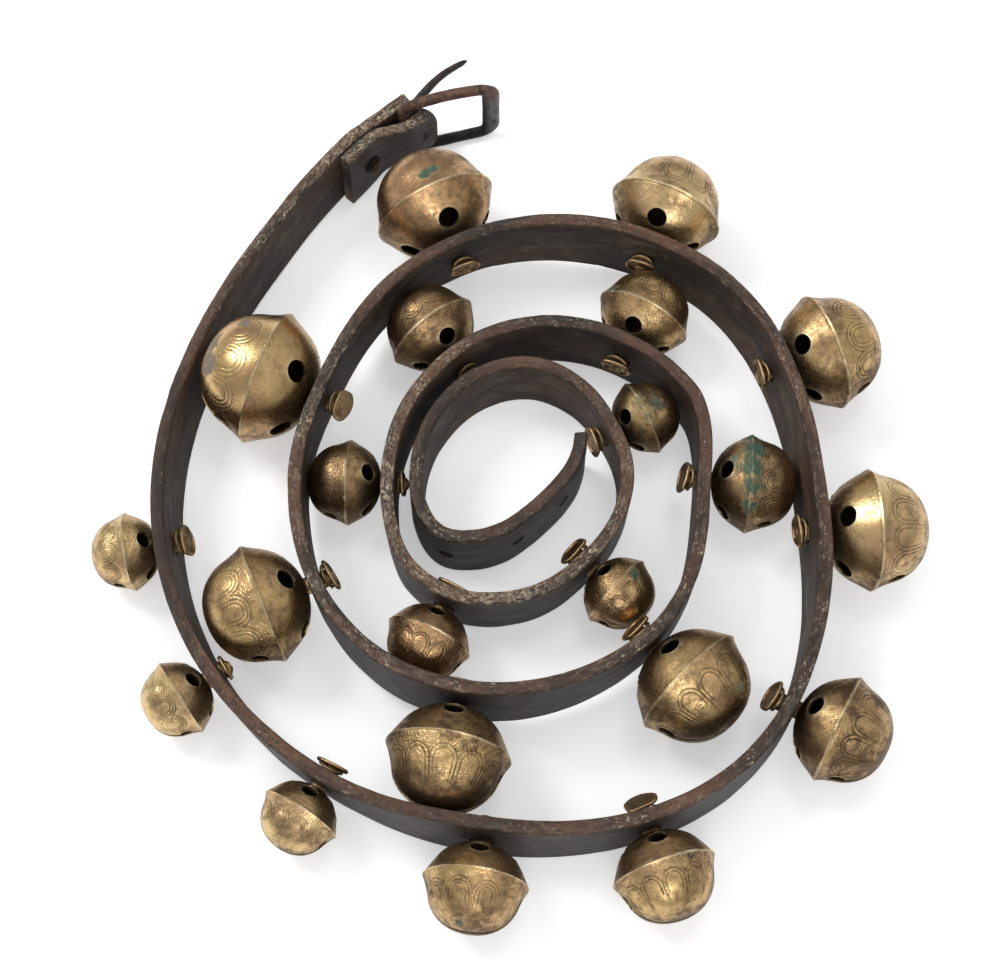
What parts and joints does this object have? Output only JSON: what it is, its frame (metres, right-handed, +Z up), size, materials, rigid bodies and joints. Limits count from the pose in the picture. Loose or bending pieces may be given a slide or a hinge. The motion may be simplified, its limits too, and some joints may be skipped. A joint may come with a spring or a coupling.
{
  "type": "harness bell strap",
  "caption": "Leather harness strap carrying graduated cast petal bells with loose pellets, wound up on its edge, with an iron buckle at the outer end.",
  "frame": {"origin": "bottom centre of the whole part, on the surface it stands on", "axes": "+Z up, along the strap's width; +X and +Y in the plane of the winding, +Y towards the buckle"},
  "size_m": [0.3136, 0.3632, 0.0516],
  "materials": {
    "leather": "dark worn harness leather",
    "bell_brass": "aged cast bell brass",
    "pellet_iron": "rough cast iron",
    "iron": "rusted forged iron",
    "copper": "dull copper"
  },
  "bodies": {
    "strap_body": {"strap": "leather", "rivet": "copper", "rivet_burr": "copper"},
    "frame_body": {"buckle_frame": "iron"},
    "tongue_body": {"buckle_tongue": "iron"},
    "bell_01_body": {"bell_01": "bell_brass"},
    "pellet_01_body": {"pellet_01": "pellet_iron"},
    "bell_02_body": {"bell_02": "bell_brass"},
    "pellet_02_body": {"pellet_02": "pellet_iron"},
    "bell_03_body": {"bell_03": "bell_brass"},
    "pellet_03_body": {"pellet_03": "pellet_iron"},
    "bell_04_body": {"bell_04": "bell_brass"},
    "pellet_04_body": {"pellet_04": "pellet_iron"},
    "bell_05_body": {"bell_05": "bell_brass"},
    "pellet_05_body": {"pellet_05": "pellet_iron"},
    "bell_06_body": {"bell_06": "bell_brass"},
    "pellet_06_body": {"pellet_06": "pellet_iron"},
    "bell_07_body": {"bell_07": "bell_brass"},
    "pellet_07_body": {"pellet_07": "pellet_iron"},
    "bell_08_body": {"bell_08": "bell_brass"},
    "pellet_08_body": {"pellet_08": "pellet_iron"},
    "bell_09_body": {"bell_09": "bell_brass"},
    "pellet_09_body": {"pellet_09": "pellet_iron"},
    "bell_10_body": {"bell_10": "bell_brass"},
    "pellet_10_body": {"pellet_10": "pellet_iron"},
    "bell_11_body": {"bell_11": "bell_brass"},
    "pellet_11_body": {"pellet_11": "pellet_iron"},
    "bell_12_body": {"bell_12": "bell_brass"},
    "pellet_12_body": {"pellet_12": "pellet_iron"},
    "bell_13_body": {"bell_13": "bell_brass"},
    "pellet_13_body": {"pellet_13": "pellet_iron"},
    "bell_14_body": {"bell_14": "bell_brass"},
    "pellet_14_body": {"pellet_14": "pellet_iron"},
    "bell_15_body": {"bell_15": "bell_brass"},
    "pellet_15_body": {"pellet_15": "pellet_iron"},
    "bell_16_body": {"bell_16": "bell_brass"},
    "pellet_16_body": {"pellet_16": "pellet_iron"},
    "bell_17_body": {"bell_17": "bell_brass"},
    "pellet_17_body": {"pellet_17": "pellet_iron"},
    "bell_18_body": {"bell_18": "bell_brass"},
    "pellet_18_body": {"pellet_18": "pellet_iron"},
    "bell_19_body": {"bell_19": "bell_brass"},
    "pellet_19_body": {"pellet_19": "pellet_iron"},
    "bell_20_body": {"bell_20": "bell_brass"},
    "pellet_20_body": {"pellet_20": "pellet_iron"},
    "bell_21_body": {"bell_21": "bell_brass"},
    "pellet_21_body": {"pellet_21": "pellet_iron"}
  },
  "joints": [
    {"name": "buckle_frame_swing", "type": "hinge", "parent": "strap_body", "child": "frame_body", "pos_m": [-0.04272, 0.14772, 0.0172], "axis": [0, 0, 1], "range_deg": [-40, 60]},
    {"name": "buckle_tongue_swing", "type": "hinge", "parent": "frame_body", "child": "tongue_body", "pos_m": [-0.04272, 0.14772, 0.0172], "axis": [0, 0, 1], "range_deg": [-32, 42]},
    {"name": "bell_01_wag", "type": "hinge", "parent": "strap_body", "child": "bell_01_body", "pos_m": [-0.12835, -0.03573, 0.01605], "axis": [-0.0517, -0.0083, 0.9986], "range_deg": [-5, 5]},
    {"name": "pellet_01_roll", "type": "hinge", "parent": "bell_01_body", "child": "pellet_01_body", "pos_m": [-0.1428, -0.03806, 0.01528], "axis": [-0.9859, -0.1589, -0.0523], "continuous": true},
    {"name": "bell_02_wag", "type": "hinge", "parent": "strap_body", "child": "bell_02_body", "pos_m": [-0.10808, -0.08703, 0.01605], "axis": [-0.0289, -0.0196, 0.9994], "range_deg": [-5, 5]},
    {"name": "pellet_02_roll", "type": "hinge", "parent": "bell_02_body", "child": "pellet_02_body", "pos_m": [-0.12019, -0.09526, 0.01554], "axis": [-0.8265, -0.5618, -0.0349], "continuous": true},
    {"name": "bell_03_wag", "type": "hinge", "parent": "strap_body", "child": "bell_03_body", "pos_m": [-0.06684, -0.12641, 0.01601], "axis": [0.0092, 0.0149, 0.9998], "range_deg": [-5, 5]},
    {"name": "pellet_03_roll", "type": "hinge", "parent": "bell_03_body", "child": "pellet_03_body", "pos_m": [-0.07452, -0.13888, 0.01627], "axis": [-0.5243, -0.8514, 0.0175], "continuous": true},
    {"name": "bell_04_wag", "type": "hinge", "parent": "strap_body", "child": "bell_04_body", "pos_m": [-0.00923, -0.14648, 0.01705], "axis": [0.0151, 0.1034, 0.9945], "range_deg": [-5, 5]},
    {"name": "pellet_04_roll", "type": "hinge", "parent": "bell_04_body", "child": "pellet_04_body", "pos_m": [-0.01176, -0.16385, 0.0189], "axis": [-0.1437, -0.9841, 0.1045], "continuous": true},
    {"name": "bell_05_wag", "type": "hinge", "parent": "strap_body", "child": "bell_05_body", "pos_m": [0.04938, -0.14287, 0.01805], "axis": [-0.0157, 0.0499, 0.9986], "range_deg": [-5, 5]},
    {"name": "pellet_05_roll", "type": "hinge", "parent": "bell_05_body", "child": "pellet_05_body", "pos_m": [0.05466, -0.15969, 0.01897], "axis": [0.2989, -0.9529, 0.0523], "continuous": true},
    {"name": "bell_06_wag", "type": "hinge", "parent": "strap_body", "child": "bell_06_body", "pos_m": [0.10228, -0.09977, 0.01949], "axis": [-0.0463, 0.0243, 0.9986], "range_deg": [-5, 5]},
    {"name": "pellet_06_roll", "type": "hinge", "parent": "bell_06_body", "child": "pellet_06_body", "pos_m": [0.11888, -0.10849, 0.02047], "axis": [0.8841, -0.4643, 0.0523], "continuous": true},
    {"name": "bell_07_wag", "type": "hinge", "parent": "strap_body", "child": "bell_07_body", "pos_m": [0.11456, -0.03329, 0.02405], "axis": [0.0523, 0.0022, 0.9986], "range_deg": [-5, 5]},
    {"name": "pellet_07_roll", "type": "hinge", "parent": "bell_07_body", "child": "pellet_07_body", "pos_m": [0.13516, -0.03241, 0.02297], "axis": [0.9977, 0.0426, -0.0523], "continuous": true},
    {"name": "bell_08_wag", "type": "hinge", "parent": "strap_body", "child": "bell_08_body", "pos_m": [0.10336, 0.03461, 0.023], "axis": [0, 0, 1], "range_deg": [-5, 5]},
    {"name": "pellet_08_roll", "type": "hinge", "parent": "bell_08_body", "child": "pellet_08_body", "pos_m": [0.12264, 0.042, 0.023], "axis": [0.9338, 0.3579, 0], "continuous": true},
    {"name": "bell_09_wag", "type": "hinge", "parent": "strap_body", "child": "bell_09_body", "pos_m": [0.05506, 0.08607, 0.02189], "axis": [-0.0206, -0.0481, 0.9986], "range_deg": [-5, 5]},
    {"name": "pellet_09_roll", "type": "hinge", "parent": "bell_09_body", "child": "pellet_09_body", "pos_m": [0.06316, 0.10503, 0.02297], "axis": [0.3926, 0.9182, 0.0523], "continuous": true},
    {"name": "bell_10_wag", "type": "hinge", "parent": "strap_body", "child": "bell_10_body", "pos_m": [-0.0197, 0.08487, 0.02297], "axis": [0.0371, -0.0789, 0.9962], "range_deg": [-5, 5]},
    {"name": "pellet_10_roll", "type": "hinge", "parent": "bell_10_body", "child": "pellet_10_body", "pos_m": [-0.02909, 0.10483, 0.02491], "axis": [-0.424, 0.9014, 0.0872], "continuous": true},
    {"name": "bell_11_wag", "type": "hinge", "parent": "strap_body", "child": "bell_11_body", "pos_m": [-0.07115, 0.02075, 0.02525], "axis": [0.0488, -0.019, 0.9986], "range_deg": [-5, 5]},
    {"name": "pellet_11_roll", "type": "hinge", "parent": "bell_11_body", "child": "pellet_11_body", "pos_m": [-0.0928, 0.0292, 0.02646], "axis": [-0.9303, 0.3629, 0.0523], "continuous": true},
    {"name": "bell_12_wag", "type": "hinge", "parent": "strap_body", "child": "bell_12_body", "pos_m": [-0.07179, -0.05355, 0.02371], "axis": [-0.0322, -0.0134, 0.9994], "range_deg": [-5, 5]},
    {"name": "pellet_12_roll", "type": "hinge", "parent": "bell_12_body", "child": "pellet_12_body", "pos_m": [-0.09085, -0.06148, 0.02299], "axis": [-0.9227, -0.3838, -0.0349], "continuous": true},
    {"name": "bell_13_wag", "type": "hinge", "parent": "strap_body", "child": "bell_13_body", "pos_m": [-0.01812, -0.09756, 0.02111], "axis": [0.0151, 0.0858, 0.9962], "range_deg": [-5, 5]},
    {"name": "pellet_13_roll", "type": "hinge", "parent": "bell_13_body", "child": "pellet_13_body", "pos_m": [-0.02168, -0.11783, 0.02291], "axis": [-0.1722, -0.9812, 0.0872], "continuous": true},
    {"name": "bell_14_wag", "type": "hinge", "parent": "strap_body", "child": "bell_14_body", "pos_m": [0.05158, -0.07633, 0.02227], "axis": [-0.0238, 0.0256, 0.9994], "range_deg": [-5, 5]},
    {"name": "pellet_14_roll", "type": "hinge", "parent": "bell_14_body", "child": "pellet_14_body", "pos_m": [0.06563, -0.09144, 0.02299], "axis": [0.6804, -0.732, 0.0349], "continuous": true},
    {"name": "bell_15_wag", "type": "hinge", "parent": "strap_body", "child": "bell_15_body", "pos_m": [0.0738, -0.01012, 0.01869], "axis": [-0.0174, 0.0016, 0.9998], "range_deg": [-5, 5]},
    {"name": "pellet_15_roll", "type": "hinge", "parent": "bell_15_body", "child": "pellet_15_body", "pos_m": [0.09137, -0.01178, 0.019], "axis": [0.9954, -0.094, 0.0175], "continuous": true},
    {"name": "bell_16_wag", "type": "hinge", "parent": "strap_body", "child": "bell_16_body", "pos_m": [0.04503, 0.0438, 0.01739], "axis": [-0.0408, -0.077, 0.9962], "range_deg": [-5, 5]},
    {"name": "pellet_16_roll", "type": "hinge", "parent": "bell_16_body", "child": "pellet_16_body", "pos_m": [0.05327, 0.05933, 0.01893], "axis": [0.4669, 0.88, 0.0872], "continuous": true},
    {"name": "bell_17_wag", "type": "hinge", "parent": "strap_body", "child": "bell_17_body", "pos_m": [-0.01889, 0.039, 0.01805], "axis": [0.0315, -0.0418, 0.9986], "range_deg": [-5, 5]},
    {"name": "pellet_17_roll", "type": "hinge", "parent": "bell_17_body", "child": "pellet_17_body", "pos_m": [-0.02951, 0.05307, 0.01897], "axis": [-0.6019, 0.7968, 0.0523], "continuous": true},
    {"name": "bell_18_wag", "type": "hinge", "parent": "strap_body", "child": "bell_18_body", "pos_m": [-0.04506, -0.01098, 0.01677], "axis": [-0.0174, 0.0009, 0.9998], "range_deg": [-5, 5]},
    {"name": "pellet_18_roll", "type": "hinge", "parent": "bell_18_body", "child": "pellet_18_body", "pos_m": [-0.06081, -0.01017, 0.0165], "axis": [-0.9985, 0.0513, -0.0175], "continuous": true},
    {"name": "bell_19_wag", "type": "hinge", "parent": "strap_body", "child": "bell_19_body", "pos_m": [-0.02307, -0.05847, 0.0165], "axis": [0, 0, 1], "range_deg": [-5, 5]},
    {"name": "pellet_19_roll", "type": "hinge", "parent": "bell_19_body", "child": "pellet_19_body", "pos_m": [-0.02953, -0.07286, 0.0165], "axis": [-0.4098, -0.9122, 0], "continuous": true},
    {"name": "bell_20_wag", "type": "hinge", "parent": "strap_body", "child": "bell_20_body", "pos_m": [0.02981, -0.04365, 0.01601], "axis": [0.0252, -0.0241, 0.9994], "range_deg": [-5, 5]},
    {"name": "pellet_20_roll", "type": "hinge", "parent": "bell_20_body", "child": "pellet_20_body", "pos_m": [0.04038, -0.05378, 0.0155], "axis": [0.7218, -0.6912, -0.0349], "continuous": true},
    {"name": "bell_21_wag", "type": "hinge", "parent": "strap_body", "child": "bell_21_body", "pos_m": [0.03872, 0.01007, 0.01595], "axis": [-0.0781, -0.0386, 0.9962], "range_deg": [-5, 5]},
    {"name": "pellet_21_roll", "type": "hinge", "parent": "bell_21_body", "child": "pellet_21_body", "pos_m": [0.0518, 0.01654, 0.01723], "axis": [0.893, 0.4416, 0.0872], "continuous": true}
  ]
}
